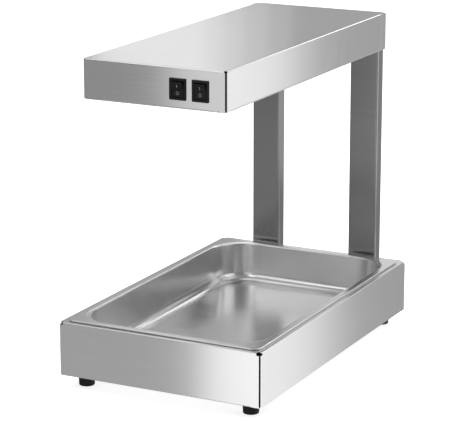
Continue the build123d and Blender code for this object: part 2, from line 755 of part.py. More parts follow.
# ---------------------------------------------------------------- hood bulkhead and rear cap
bulk_half = half_hood - hood_flange - bulkhead_clearance
bulkhead = block(-bulk_half, bulk_half, base_rear - sheet, base_rear, hood_low,
                 hood_top - sheet)
bulkhead += block(-bulk_half, bulk_half, base_rear - bulkhead_flange, base_rear,
                  hood_top - 2 * sheet, hood_top - sheet)
bulkhead += block(-bulk_half, bulk_half, base_rear - bulkhead_flange, base_rear,
                  hood_low, hood_low + sheet)
for side in (-1, 1):
    for height in hood_bolt_heights:
        bulkhead -= rod_back(bolt_hole, side * post_x, hood_low + height,
                             base_rear - sheet - past, base_rear + past)
bulkhead -= rod_back(loom_hole, loom_x, hood_loom_z, base_rear - sheet - past, base_rear + past)
nodes["hood_bulkhead"] = bulkhead

cap_front = base_rear + cap_seam
cap_top = hood_top - sheet
rear_cap = block(-half_hood, half_hood, cap_front, hood_rear, hood_low, cap_top)
rear_cap = fillet(rear_cap.edges().filter_by(Axis.Z).group_by(Axis.Y)[-1], bend)
rear_cap -= block(-half_hood + sheet, half_hood - sheet, cap_front - past, post_rear,
                  hood_low - past, cap_top + past)
gap_half = post_x - post_width / 2 - bulkhead_clearance
rear_cap += block(-gap_half, gap_half, post_rear - cap_flange, hood_rear, hood_low,
                  hood_low + sheet)
chamfer_outline = [(hood_rear + past, hood_low - past),
                   (hood_rear - cap_chamfer - past, hood_low - past),
                   (hood_rear + past, hood_low + cap_chamfer + past)]
for side in (-1, 1):
    across = sorted((side * gap_half, side * (half_hood + past)))
    rear_cap -= prism_across(chamfer_outline, *across)
cap_screw_seats = [(side * post_x, z) for side in (-1, 1) for z in cap_screw_z]
for x, z in cap_screw_seats:
    rear_cap -= rod_back(screw_hole, x, z, post_rear - past, hood_rear + past)
nodes["hood_rear_cap"] = rear_cap
nodes["cap_screws"] = [panel_screw_forward(x, z, hood_rear) for x, z in cap_screw_seats]

# ---------------------------------------------------------------- reflector and heat shield
reflector_half = mouth_width / 2 + reflector_margin
reflector_front = mouth_front - reflector_margin
reflector_rear = mouth_rear + reflector_margin
reflector_top = hood_low + reflector_height


def trough(grow, y0, y1, low):
    """A prism with sloping sides: the reflector's hollow, grown outwards by grow."""
    crown = reflector_crown / 2 + grow
    foot = reflector_half + grow
    outline = [(-foot, low), (foot, low), (crown, reflector_top + grow),
               (-crown, reflector_top + grow)]
    return prism_along(outline, y0, y1)


reflector = trough(thin_sheet, reflector_front - thin_sheet, reflector_rear + thin_sheet, hood_low)
reflector += block(-reflector_half - reflector_flange, reflector_half + reflector_flange,
                   reflector_front - reflector_flange, reflector_rear + reflector_flange,
                   hood_low, hood_low + thin_sheet)
reflector -= trough(0, reflector_front, reflector_rear, hood_low)
tube_x = [-tube_spacing / 2, tube_spacing / 2]
glass_front = reflector_front - thin_sheet - tube_seat
glass_rear = reflector_rear + thin_sheet + tube_seat
for x in tube_x:
    reflector -= rod_back(ceramic_width, x, tube_z, glass_front, glass_rear)
nodes["reflector"] = reflector

shield_half = reflector_half + shield_side
shield_low = hood_low + thin_sheet
heat_shield = block(-shield_half, shield_half, reflector_front, reflector_rear,
                    shield_low, hood_low + shield_height)
heat_shield -= block(-shield_half + thin_sheet, shield_half - thin_sheet, reflector_front - past,
                     reflector_rear + past, shield_low - past, hood_low + shield_height - thin_sheet)
nodes["heat_shield"] = heat_shield

# ---------------------------------------------------------------- quartz heaters
def glass_tube(x):
    tube = rod_back(tube_width, x, tube_z, glass_front, glass_rear)
    return tube - rod_back(tube_width - 2 * tube_wall, x, tube_z, glass_front - past, glass_rear + past)


def ceramic_end(x, wall_face, outward):
    """A ceramic end cap through the reflector's end wall, with a collar outside it."""
    inner = wall_face - outward * ceramic_length * ceramic_inside
    outer = inner + outward * ceramic_length
    ys = sorted((inner, outer))
    cap = rod_back(ceramic_width, x, tube_z, ys[0], ys[1])
    collar = sorted((wall_face, wall_face + outward * ceramic_collar_length))
    cap += rod_back(ceramic_collar, x, tube_z, collar[0], collar[1])
    socket = sorted((inner - outward, wall_face + outward * tube_seat))
    cap -= rod_back(tube_width, x, tube_z, socket[0], socket[1])
    return cap - rod_back(pin_width, x, tube_z, ys[0], ys[1])


def end_pin(x, wall_face, outward):
    start = wall_face + outward * tube_seat
    end = wall_face + outward * (ceramic_length * (1 - ceramic_inside) + pin_length)
    ys = sorted((start, end))
    return rod_back(pin_width, x, tube_z, ys[0], ys[1])


tube_ends = [(x, face, outward) for x in tube_x
             for face, outward in ((reflector_front - thin_sheet, -1),
                                   (reflector_rear + thin_sheet, 1))]
nodes["quartz_tube_left"] = glass_tube(tube_x[0])
nodes["quartz_tube_right"] = glass_tube(tube_x[1])
nodes["heating_coils"] = [rod_back(coil_width, x, tube_z, glass_front, glass_rear)
                          for x in tube_x]
nodes["ceramic_ends"] = [ceramic_end(*end) for end in tube_ends]
nodes["tube_pins"] = [end_pin(*end) for end in tube_ends]

# ---------------------------------------------------------------- wire guard
guard_half = mouth_width / 2 + guard_bearing
guard_count = int(mouth_length // guard_pitch) + 1
guard_z = hood_low + guard_wire / 2
guard_start = mouth_mid - (guard_count - 1) * guard_pitch / 2
cross_y = [guard_start + index * guard_pitch for index in range(guard_count)]
rail_x = mouth_width / 2 - guard_rail_inset
rail_z = hood_low + guard_wire + guard_rail / 2
nodes["wire_guard"] = [rod(guard_wire, (-guard_half, y, guard_z), (guard_half, y, guard_z))
                       for y in cross_y]
nodes["wire_guard"] += [rod_back(guard_rail, x, rail_z, cross_y[0] - guard_rail,
                                 cross_y[-1] + guard_rail) for x in (-rail_x, 0.0, rail_x)]


def guard_clip(side, y):
    """A bent strip over a cross wire's end, standing on the underside plate."""
    x_near = side * (mouth_width / 2 + guard_clip_inset)
    xs = sorted((x_near, x_near + side * guard_bearing))
    hold = guard_wire / 2 + guard_clip_gap
    top = hood_low + guard_wire
    clip = block(*xs, y - hold - guard_clip_sheet, y + guard_clip_foot, hood_low,
                 top + guard_clip_sheet)
    clip -= block(xs[0] - past, xs[1] + past, y - hold, y + hold, hood_low - past, top)
    return clip - block(xs[0] - past, xs[1] + past, y + hold + guard_clip_sheet,
                        y + guard_clip_foot + past, hood_low + guard_clip_sheet,
                        top + guard_clip_sheet + past)


clip_rows = (cross_y[1], cross_y[-2])
nodes["guard_clips"] = [guard_clip(side, y) for side in (-1, 1) for y in clip_rows]

# ---------------------------------------------------------------- rocker switches
pivot_y = hood_front + pivot_setback
window_half = rocker_radius + window_clearance


def switch_housing(x):
    """A snap-in housing: bezel, body behind the panel, and a cavity for the rocker."""
    front = hood_front - bezel
    frame = block(x - switch_width / 2, x + switch_width / 2, front, hood_front,
                  switch_z - switch_height / 2, switch_z + switch_height / 2)
    frame = fillet(frame.edges().filter_by(Axis.Y), bezel_corner)
    frame = fillet(frame.edges().group_by(Axis.Y)[0], bezel * bezel_rounding)
    housing = frame + block(x - body_width / 2, x + body_width / 2, hood_front,
                            hood_front + body_depth, switch_z - body_height / 2,
                            switch_z + body_height / 2)
    housing -= block(x - window_width / 2, x + window_width / 2, front - past,
                     hood_front + cavity_depth, switch_z - window_half, switch_z + window_half)
    pin_hole = pivot_pin + 2 * pivot_clearance
    reach = window_width / 2 + pivot_pin_reach
    return housing - rod(pin_hole, (x - reach, pivot_y, switch_z), (x + reach, pivot_y, switch_z))


def rocker(x):
    """The rocker at rest, its lower half pressed in: two flat faces that meet in a shallow
    valley over the pivot, and end faces that are arcs about the pivot."""
    drum = rod(2 * rocker_radius, (x - rocker_width / 2, pivot_y, switch_z),
               (x + rocker_width / 2, pivot_y, switch_z))
    reach = rocker_radius + past
    front = rocker_valley + reach * math.tan(math.radians(rocker_tilt))
    outline = [(pivot_y + rocker_back, switch_z - reach),
               (pivot_y - front, switch_z - reach),
               (pivot_y - rocker_valley, switch_z),
               (pivot_y - front, switch_z + reach),
               (pivot_y + rocker_back, switch_z + reach)]
    body = drum & prism_across(outline, x - rocker_width / 2, x + rocker_width / 2)
    long_edges = body.edges().filter_by(Axis.X).group_by(Axis.Y)[0]
    body = fillet(long_edges, rocker_round)
    reach = window_width / 2 + pivot_pin_reach - pin_end_play
    body += rod(pivot_pin, (x - reach, pivot_y, switch_z), (x + reach, pivot_y, switch_z))
    return body.rotate(Axis((x, pivot_y, switch_z), (1, 0, 0)), rocker_tilt)


def switch_tabs(x):
    rear = hood_front + body_depth
    return [block(x + column - tab_sheet / 2, x + column + tab_sheet / 2, rear,
                  rear + terminal_reach, switch_z + row - tab_width / 2,
                  switch_z + row + tab_width / 2)
            for row in terminal_rows for column in terminal_columns]


nodes["switch_housing_left"] = switch_housing(switch_x[0])
nodes["switch_housing_right"] = switch_housing(switch_x[1])
nodes["rocker_left"] = rocker(switch_x[0])
nodes["rocker_right"] = rocker(switch_x[1])
nodes["switch_terminals"] = switch_tabs(switch_x[0]) + switch_tabs(switch_x[1])

# ---------------------------------------------------------------- wiring loom
loom_side = half_hood - sheet - loom_width / 2 - loom_wall_gap
loom_bay_y = hood_front + switch_bay - loom_bay_gap
loom_base_y = base_rear - loom_base_gap
loom_base_z = base_low + wire_way_height
loom_post_y = post_y + loom_post_step
loom_rear_y = base_rear - loom_rear_gap
loom_end_x = switch_x[0] - body_width / 2 - loom_switch_gap
loom_points = [
    (block_x - block_width / 2, loom_base_y, loom_base_z),
    (loom_x, loom_base_y, loom_base_z),
    (loom_x, loom_base_y, base_loom_z),
    (loom_x, loom_post_y, base_loom_z),
    (loom_x, loom_post_y, hood_loom_z),
    (loom_x, loom_rear_y, hood_loom_z),
    (-loom_side, loom_rear_y, hood_loom_z),
    (-loom_side, loom_bay_y, hood_loom_z),
    (loom_end_x, loom_bay_y, hood_loom_z)]
loom_radii = [base_turn, base_turn, post_turn, post_turn, wide_turn, wide_turn, wide_turn]
loom_path = FilletPolyline(*loom_points, radius=loom_radii)
loom_start = loom_path @ 0
loom_face = Plane(origin=loom_start, z_dir=loom_path % 0) * Circle(loom_width / 2)
nodes["wiring_loom"] = sweep(loom_face, path=loom_path)

# ---------------------------------------------------------------- centre and write the nodes
# The rockers stand out in front of the hood and screw heads behind it, so the
# whole warmer is moved to bring the origin under the middle of all of it.
pieces = {name: shape if isinstance(shape, list) else [shape] for name, shape in nodes.items()}
boxes = [piece.bounding_box() for group in pieces.values() for piece in group]
front_end = min(box.min.Y for box in boxes)
rear_end = max(box.max.Y for box in boxes)
centring = -(front_end + rear_end) / 2

os.makedirs("parts", exist_ok=True)
for name, group in pieces.items():
    moved = [Solid(piece.solids()[0].wrapped).moved(Location((0, centring, 0))) for piece in group]
    export_step(moved[0] if len(moved) == 1 else Compound(children=moved), f"parts/{name}.step")
print(len(nodes), "nodes, from", round(front_end + centring, 3), "to",
      round(rear_end + centring, 3), "in Y")
print("rocker pivots at x", switch_x, "y", round(pivot_y + centring, 3), "z", switch_z)
print("base from y", round(base_front + centring, 3), "to", round(base_rear + centring, 3))
print("pan middle y", round(pan_mid + centring, 3), "hood front y",
      round(hood_front + centring, 3))
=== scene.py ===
import math
import bmesh
import bpy
from mathutils import Matrix, Vector


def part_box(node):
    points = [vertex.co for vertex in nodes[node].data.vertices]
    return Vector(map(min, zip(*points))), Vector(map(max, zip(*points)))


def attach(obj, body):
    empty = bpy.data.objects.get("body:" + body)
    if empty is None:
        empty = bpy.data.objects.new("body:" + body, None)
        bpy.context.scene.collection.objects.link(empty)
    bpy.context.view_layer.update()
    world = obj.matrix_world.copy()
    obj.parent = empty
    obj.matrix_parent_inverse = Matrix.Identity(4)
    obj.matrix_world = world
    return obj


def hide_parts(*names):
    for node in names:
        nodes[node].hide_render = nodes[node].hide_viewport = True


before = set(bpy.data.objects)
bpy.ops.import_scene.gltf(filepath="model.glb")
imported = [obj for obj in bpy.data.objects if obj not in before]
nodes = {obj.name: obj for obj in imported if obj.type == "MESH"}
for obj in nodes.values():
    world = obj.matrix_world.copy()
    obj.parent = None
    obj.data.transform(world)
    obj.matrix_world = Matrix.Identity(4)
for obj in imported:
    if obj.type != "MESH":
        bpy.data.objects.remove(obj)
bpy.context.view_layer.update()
scene = bpy.context.scene

# ------------------------------------------------------------------ camera
# A long lens in front of the warmer and to its right, looking a little down
# on it.
look_down = 14.55
look_aside = 26.83
camera_data = bpy.data.cameras.new("camera")
camera_data.sensor_width = 36.0
camera_data.lens = 165.97
camera_data.clip_end = 60.0
camera = bpy.data.objects.new("camera", camera_data)
camera.location = (1.45106, -2.91055, 1.07646)
camera.rotation_euler = (math.radians(90 - look_down), 0.0, math.radians(look_aside))
scene.collection.objects.link(camera)
scene.camera = camera
scene.view_settings.view_transform = "Standard"

# ------------------------------------------------------------------ floor
# One plain pale sheet under the warmer, glowing faintly so that it stays
# even; the polished sheets above it mirror the dim studio instead of it.
pale = bpy.data.materials.new("pale_floor")
pale.use_nodes = True
shader = pale.node_tree.nodes["Principled BSDF"]
shader.inputs["Base Color"].default_value = (0.9, 0.9, 0.9, 1)
shader.inputs["Roughness"].default_value = 0.9
shader.inputs["Emission Color"].default_value = (1, 1, 1, 1)
shader.inputs["Emission Strength"].default_value = 0.75
floor_mesh = bpy.data.meshes.new("floor")
sheet = bmesh.new()
bmesh.ops.create_grid(sheet, x_segments=1, y_segments=1, size=12.0)
sheet.to_mesh(floor_mesh)
sheet.free()
floor_mesh.materials.append(pale)
floor = bpy.data.objects.new("floor", floor_mesh)
floor.visible_glossy = False
floor.visible_shadow = False
scene.collection.objects.link(floor)

# ------------------------------------------------------------------ light
# A dim even room, a little brighter behind and overhead, with one large soft
# box above. Smaller boxes before the warmer, at its right side and behind it
# show only in its polished sheets.
world = bpy.data.worlds.new("studio")
scene.world = world
world.use_nodes = True
room = world.node_tree
sky = room.nodes.new("ShaderNodeTexCoord")
ways = room.nodes.new("ShaderNodeSeparateXYZ")
room.links.new(sky.outputs["Generated"], ways.inputs[0])


def ramp_between(way, start, end, low, high):
    """A number that runs from low to high as a direction's part runs from start to end."""
    ramp = room.nodes.new("ShaderNodeMapRange")
    room.links.new(ways.outputs[way], ramp.inputs["Value"])
    for socket, value in (("From Min", start), ("From Max", end), ("To Min", low),
                          ("To Max", high)):
        ramp.inputs[socket].default_value = value
    return ramp.outputs["Result"]


def joined(tree, operation, *values, kind="ShaderNodeMath"):
    """The number that comes of putting values from other nodes through one operation."""
    node = tree.nodes.new(kind)
    node.operation = operation
    for socket, value in zip(node.inputs, values):
        tree.links.new(value, socket)
    return node.outputs["Value"]


below = ramp_between("Y", -0.9, 0.9, 0.31, 0.41)
above = ramp_between("Y", -0.9, 0.9, 0.18, 0.41)
level = ramp_between("Z", -0.05, 0.10, 0.0, 1.0)
under = ramp_between("Z", -0.05, 0.10, 1.0, 0.0)
overhead = joined(room, "MULTIPLY", ramp_between("Z", 0.45, 0.85, 0.0, 0.75),
                  ramp_between("Y", -0.35, 0.05, 0.2, 1.0))
walls = joined(room, "ADD", joined(room, "MULTIPLY", below, under),
               joined(room, "MULTIPLY", above, level))
room.links.new(joined(room, "ADD", walls, overhead), room.nodes["Background"].inputs["Color"])
to_rear = (0, 1, 0)
to_front = (0, -1, 0)
to_left = (-1, 0, 0)


def soft_box(name, size, place, way, brightness, mirrored=True):
    """A soft box facing a way, either seen in polished sheets alone or giving light alone."""
    lamp = bpy.data.lights.new(name, "AREA")
    lamp.shape = "RECTANGLE"
    lamp.size, lamp.size_y = size
    lamp.energy = brightness * math.pi * size[0] * size[1]
    holder = bpy.data.objects.new(name, lamp)
    holder.location = place
    holder.rotation_euler = Vector(way).to_track_quat("-Z", "Y").to_euler()
    holder.visible_camera = False
    holder.visible_diffuse = not mirrored
    holder.visible_glossy = mirrored
    scene.collection.objects.link(holder)


soft_box("box_above", (2.4, 2.4), (0.0, 0.1, 2.4), (0.0, -0.1, -2.4), 2.5, mirrored=False)
soft_box("box_front", (0.60, 0.6), (-0.01, -0.90, 0.40), to_rear, 0.50)
soft_box("box_front_low", (0.55, 0.6), (0.025, -0.90, -0.22), to_rear, 0.95)
soft_box("box_front_high", (0.36, 0.6), (-0.28, -0.90, 1.05), to_rear, 1.5)
soft_box("box_front_cove", (0.34, 0.5), (-0.63, -0.90, 1.25), to_rear, 1.5)
soft_box("box_left_low", (0.60, 0.6), (-0.56, -0.90, -0.22), to_rear, 0.13)
soft_box("box_left_high", (0.55, 0.45), (-0.83, -0.90, 0.73), to_rear, 1.0)
soft_box("box_side", (1.18, 0.6), (0.60, 0.385, 0.35), to_left, 0.72)
soft_box("box_side_low", (1.18, 0.6), (0.60, 0.30, -0.30), to_left, 0.72)
soft_box("box_rear_low", (0.75, 0.42), (-0.075, 0.90, 0.26), to_front, 0.35)
soft_box("box_behind", (0.8, 0.35), (0.35, 1.3, 1.15), (-0.35, -1.3, -0.75), 1.5)
soft_box("box_behind_low", (0.35, 0.35), (0.0, 1.3, 0.93), to_front, 1.5)
# Five more overlap behind the warmer, so that their light fades towards its middle in steps.
shared_end = -0.82
for step, own_end in enumerate((-0.54, -0.50, -0.46, -0.41, -0.36)):
    place = ((own_end + shared_end) / 2, 0.90 + 0.01 * step, 0.91)
    soft_box(f"box_rear_{step}", (own_end - shared_end, 0.58), place, to_front, 0.125)

# ------------------------------------------------------------------ base cover
# The base's cover: one sheet of brushed stainless steel with a rounded
# opening for the pan, folded down on four sides and in under the edge, its
# corners left open as narrow seams with a small relief above each.
base_low, base_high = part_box("base_shell")
pan_low, pan_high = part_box("gn_pan")
pan_mid = (pan_low.y + pan_high.y) / 2
gauge = 0.0012
base_fold = 0.0012
seam = 0.0028
base_relief = (0.007, 0.004)
base_flange = 0.015
opening_size = (0.306, 0.511)
opening_corner = 0.043
bolt_hole = 0.0066
base_bolt_heights = (0.018, 0.066)
loom_hole = 0.014
loom_height = 0.042
loom_aside = 0.013
gland_hole = 0.016
cut_edge = 0.0002
flange_gap = 0.001           # between the ends of two walls' flanges
shortest_flange = 0.1        # a wall's shorter lower edges carry no flange
shortest_wall_end = 0.05     # and its shorter upright ones aren't carried on to the seam
level_slack = 1e-6
satin = 0.22                 # roughness of the brushed and drawn steels


def feed(tree, socket, value):
    """Links a socket to another node's output, or sets it to a plain value."""
    if isinstance(value, bpy.types.NodeSocket):
        tree.links.new(value, socket)
    else:
        socket.default_value = value


def linked(tree, kind, **sockets):
    """A new node with its inputs fed by name."""
    node = tree.nodes.new(kind)
    for socket, value in sockets.items():
        feed(tree, node.inputs[socket.replace("_", " ")], value)
    return node


def mixed(tree, kind, factor, first, second):
    """Two values blended; a Mix node keeps a pair of inputs and an output for each kind."""
    pair, result = {"FLOAT": (2, 0), "VECTOR": (4, 1), "RGBA": (6, 2)}[kind]
    node = tree.nodes.new("ShaderNodeMix")
    node.data_type = kind
    feed(tree, node.inputs["Factor"], factor)
    feed(tree, node.inputs[pair], first)
    feed(tree, node.inputs[pair + 1], second)
    return node.outputs[result]


def between(tree, value, low, high, start=0.3, end=0.7):
    """A value carried from one range into another."""
    return linked(tree, "ShaderNodeMapRange", Value=value, From_Min=start, From_Max=end,
                  To_Min=low, To_Max=high).outputs["Result"]


def tinted(tree, factor, dark, light):
    """A colour that runs from dark to light with a factor."""
    ramp = linked(tree, "ShaderNodeValToRGB", Fac=factor)
    for stop, position, color in zip(ramp.color_ramp.elements, (0.3, 0.7), (dark, light)):
        stop.position = position
        stop.color = (*color, 1)
    return ramp.outputs["Color"]


def clouded(tree, vector, scale, detail):
    """Soft noise over the surface."""
    return linked(tree, "ShaderNodeTexNoise", Vector=vector, Scale=scale,
                  Detail=detail).outputs["Fac"]


def near_edges(tree, width, most, start):
    """A number that rises from nothing on the faces to its most along the sharp edges."""
    rounded = linked(tree, "ShaderNodeBevel", Radius=width).outputs["Normal"]
    facing = tree.nodes.new("ShaderNodeNewGeometry").outputs["Normal"]
    bend = joined(tree, "DOT_PRODUCT", rounded, facing, kind="ShaderNodeVectorMath")
    return between(tree, bend, most, 0.0, start, 0.98)


def roughened(tree, shader, height, strength, distance=0.0002):
    """Fine relief in a finish."""
    relief = linked(tree, "ShaderNodeBump", Strength=strength, Distance=distance, Height=height)
    tree.links.new(relief.outputs["Normal"], shader.inputs["Normal"])


def new_finish(name):
    """A new material, its tree, its shader and the place on the object to read patterns at."""
    material = bpy.data.materials.new(name)
    material.use_nodes = True
    tree = material.node_tree
    place = tree.nodes.new("ShaderNodeTexCoord").outputs["Object"]
    return material, tree, tree.nodes["Principled BSDF"], place


def grained_steel(name, color, grain, stretch, strength=0.03, depth=0.03):
    """Brushed steel: streaks drawn out along the grain, which runs down over the side folds,
    soft clouds over them, and edges rubbed smoother than the faces between them."""
    material, tree, metal, place = new_finish(name)
    metal.inputs["Metallic"].default_value = 1.0
    metal.inputs["Anisotropic"].default_value = stretch
    facing = tree.nodes.new("ShaderNodeNewGeometry").outputs["Normal"]
    parts = linked(tree, "ShaderNodeSeparateXYZ", Vector=place)
    turned_down = linked(tree, "ShaderNodeCombineXYZ", X=parts.outputs["Z"],
                         Y=parts.outputs["Y"], Z=parts.outputs["X"]).outputs["Vector"]
    sideways = linked(tree, "ShaderNodeSeparateXYZ", Vector=facing).outputs["X"]
    on_side = joined(tree, "ABSOLUTE", sideways)
    along = mixed(tree, "VECTOR", between(tree, on_side, 0.0, 1.0, 0.65, 0.75), place,
                  turned_down)
    drawn = linked(tree, "ShaderNodeMapping", Vector=along, Scale=grain)
    streaks = clouded(tree, drawn.outputs["Vector"], 1.0, 6.0)
    clouds = clouded(tree, place, 9.0, 3.0)
    dark = [c * (1 - strength) for c in color]
    light = [c * (1 + strength) for c in color]
    tree.links.new(tinted(tree, streaks, dark, light), metal.inputs["Base Color"])
    blend = mixed(tree, "FLOAT", 0.4, streaks, clouds)
    dull = between(tree, blend, satin - 0.03, satin + 0.02)
    rubbed = near_edges(tree, 0.0012, 0.07, 0.86)
    tree.links.new(joined(tree, "SUBTRACT", dull, rubbed), metal.inputs["Roughness"])
    roughened(tree, metal, streaks, depth)
    return material


def across_grain(material, way):
    """Draws highlights out along a direction, as fine grooves across it do."""
    tree = material.node_tree
    axis = tree.nodes.new("ShaderNodeCombineXYZ")
    for socket, value in zip(axis.inputs, way):
        socket.default_value = value
    tree.links.new(axis.outputs["Vector"], tree.nodes["Principled BSDF"].inputs["Tangent"])


def sheet_grid(bm, xs, ys, z):
    """A flat sheet divided along the given lines."""
    columns, rows = len(xs) - 1, len(ys) - 1
    grid = bmesh.ops.create_grid(bm, x_segments=columns, y_segments=rows, size=0.5)
    for vert in grid["verts"]:
        column = round((vert.co.x + 0.5) * columns)
        row = round((vert.co.y + 0.5) * rows)
        vert.co = (xs[column], ys[row], z)


def lying_at(edges, axis, value):
    """Of these edges, the open ones along the line where an axis has the value."""
    return [e for e in edges if e.is_boundary
            and all(abs(v.co[axis] - value) < level_slack for v in e.verts)]


def fold_on(bm, edges, step):
    """Carries open edges on by a step; returns the new far edges."""
    made = bmesh.ops.extrude_edge_only(bm, edges=edges)["geom"]
    verts = [g for g in made if isinstance(g, bmesh.types.BMVert)]
    bmesh.ops.translate(bm, verts=verts, vec=step)
    moved = set(verts)
    return [g for g in made if isinstance(g, bmesh.types.BMEdge) and set(g.verts) <= moved]


def ring_of(bm, width, length, radius, steps, place):
    """A closed ring of edges: a rectangle with rounded corners, put in its place."""
    before = set(bm.faces)
    grid = bmesh.ops.create_grid(bm, x_segments=1, y_segments=1, size=0.5)
    for vert in grid["verts"]:
        vert.co = (vert.co.x * width, vert.co.y * length, 0.0)
    bmesh.ops.bevel(bm, geom=grid["verts"], offset=radius, segments=steps, profile=0.5,
                    affect="VERTICES", material=-1)
    face = max((f for f in bm.faces if f not in before), key=lambda f: f.calc_area())
    bmesh.ops.transform(bm, matrix=place, verts=face.verts)
    edges = list(face.edges)
    bmesh.ops.delete(bm, geom=[face], context="FACES_ONLY")
    return edges


def round_hole(bm, width, place):
    """A ring for a round hole of a width."""
    return ring_of(bm, width, width, width * 0.499, 5, place)


def pierce(bm, face, rings):
    """Cuts rings of edges out of a flat face."""
    around = list(face.edges)
    bmesh.ops.delete(bm, geom=[face], context="FACES_ONLY")
    bmesh.ops.triangle_fill(bm, edges=around + [e for ring in rings for e in ring],
                            use_beauty=True, use_dissolve=False)
    for ring in rings:
        inside = {v for e in ring for v in e.verts}
        bmesh.ops.delete(bm, geom=[f for f in bm.faces if set(f.verts) <= inside],
                         context="FACES")


def facing_back(x, y, z):
    """The place of a ring drawn in an upright wall."""
    return Matrix.Translation((x, y, z)) @ Matrix.Rotation(math.radians(90), 4, "X")


def biggest_at(bm, axis, value):
    """The largest face that lies flat where an axis has the value."""
    flat = [f for f in bm.faces
            if all(abs(v.co[axis] - value) < level_slack for v in f.verts)]
    return max(flat, key=lambda f: f.calc_area())


def folded_cover(low, high, flange, relief_size, wall_end=None):
    """A cover folded from one sheet: its walls and the flanges along their lower edges, with
    an open seam and a relief at each corner. Returns its bmesh and the edges to be rounded.
    With a wall end, the side walls stop there and there is no rear wall."""
    bm = bmesh.new()
    relief, relief_depth = relief_size
    flange_start = flange + flange_gap
    stop = wall_end or high.y - flange_start
    xs = [low.x, low.x + relief, low.x + flange_start, high.x - flange_start, high.x - relief,
          high.x]
    ys = [low.y, low.y + relief, low.y + flange_start, stop, high.y - relief, high.y]
    sheet_grid(bm, xs, ys, high.z)
    corners = [f for f in bm.faces if abs(f.calc_center_median().x) > high.x - relief
               and not ys[1] < f.calc_center_median().y < ys[4]]
    bmesh.ops.delete(bm, geom=corners, context="FACES_ONLY")
    bmesh.ops.delete(bm, geom=[v for v in bm.verts if not v.link_faces], context="VERTS")
    rounded = []
    sides = [(0, low.x), (0, high.x), (1, low.y)] + ([] if wall_end else [(1, high.y)])
    for axis, value in sides:
        across = 1 - axis
        middle = ((low + high) / 2)[across]
        top = [e for e in lying_at(bm.edges, axis, value)
               if axis == 1 or not wall_end
               or max(v.co.y for v in e.verts) < wall_end + level_slack]
        upper = fold_on(bm, top, (0, 0, -relief_depth))
        lower = fold_on(bm, upper, (0, 0, low.z - high.z + relief_depth))
        inward = [0.0, 0.0, 0.0]
        inward[axis] = -math.copysign(flange, value)
        long_edges = [e for e in lower if e.calc_length() > shortest_flange]
        fold_on(bm, long_edges, inward)
        rounded += top + long_edges
        for end in lying_at(bm.edges, axis, value):
            along = end.verts[0].co[across]
            upright = abs(end.verts[0].co.z - end.verts[1].co.z) > shortest_wall_end
            at_stop = wall_end and axis == 0 and abs(along - wall_end) < level_slack
            if upright and not at_stop:
                outward = [0.0, 0.0, 0.0]
                outward[across] = math.copysign(relief - seam, along - middle)
                fold_on(bm, [end], outward)
    return bm, rounded


def eased(bm, edges, radius, steps=5):
    """Rounds edges."""
    bmesh.ops.bevel(bm, geom=[e for e in edges if e.is_valid], offset=radius, segments=steps,
                    profile=0.5, affect="EDGES", material=-1)


def finished_piece(name, bm, material, body, replaced, wall=0.0, edge=0.0, smooth=35.0):
    """Turns a bmesh into a piece, with a wall thickness and eased edges where given."""
    bmesh.ops.recalc_face_normals(bm, faces=bm.faces)
    mesh = bpy.data.meshes.new(name)
    bm.to_mesh(mesh)
    bm.free()
    mesh.materials.append(material)
    mesh.shade_smooth()
    mesh.set_sharp_from_angle(angle=math.radians(smooth))
    piece = bpy.data.objects.new(name, mesh)
    scene.collection.objects.link(piece)
    if wall:
        thick = piece.modifiers.new("wall", "SOLIDIFY")
        thick.thickness = wall
        thick.offset = -1.0
        thick.use_even_offset = True
    if edge:
        ease = piece.modifiers.new("edge", "BEVEL")
        ease.width = edge
        ease.segments = 2
        ease.limit_method = "ANGLE"
        ease.angle_limit = math.radians(50)
        ease.harden_normals = True
    level = piece.modifiers.new("flats", "WEIGHTED_NORMAL")
    level.keep_sharp = True
    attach(piece, body)
    for node in replaced:
        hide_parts(node)
    return piece


cover_steel = grained_steel("brushed_cover", (0.76, 0.76, 0.76), (14, 900, 900), 0.6)
across_grain(cover_steel, (0.0, 0.01, 1.0))
cover, rounded = folded_cover(base_low, base_high, base_flange, base_relief)
mouth = ring_of(cover, *opening_size, opening_corner, 10,
                Matrix.Translation((0.0, pan_mid, base_high.z)))
pierce(cover, biggest_at(cover, 2, base_high.z), [mouth])
post_low, post_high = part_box("post_right")
post_x = (post_low.x + post_high.x) / 2
gland_low, gland_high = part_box("cable_gland")
gland_x = (gland_low.x + gland_high.x) / 2
gland_z = (gland_low.z + gland_high.z) / 2
loom_x = -post_x + loom_aside
rear_holes = [(side * post_x, base_low.z + up, bolt_hole) for side in (-1, 1)
              for up in base_bolt_heights]
rear_holes += [(loom_x, base_low.z + loom_height, loom_hole), (gland_x, gland_z, gland_hole)]
rings = [round_hole(cover, width, facing_back(x, base_high.y, z)) for x, z, width in rear_holes]
pierce(cover, biggest_at(cover, 1, base_high.y), rings)
eased(cover, rounded, base_fold)
finished_piece("base_cover", cover, cover_steel, "chassis", ["base_shell"],
               wall=gauge, edge=cut_edge)

# ------------------------------------------------------------------ bottom plate
# A flat plate of mill-finish stainless steel with two groups of vent slots,
# held under the cover's flanges by eight countersunk cross-recess screws.
def dress(material, *names):
    """Gives CAD nodes a finished material."""
    for name in names:
        nodes[name].data.materials.clear()
        nodes[name].data.materials.append(material)


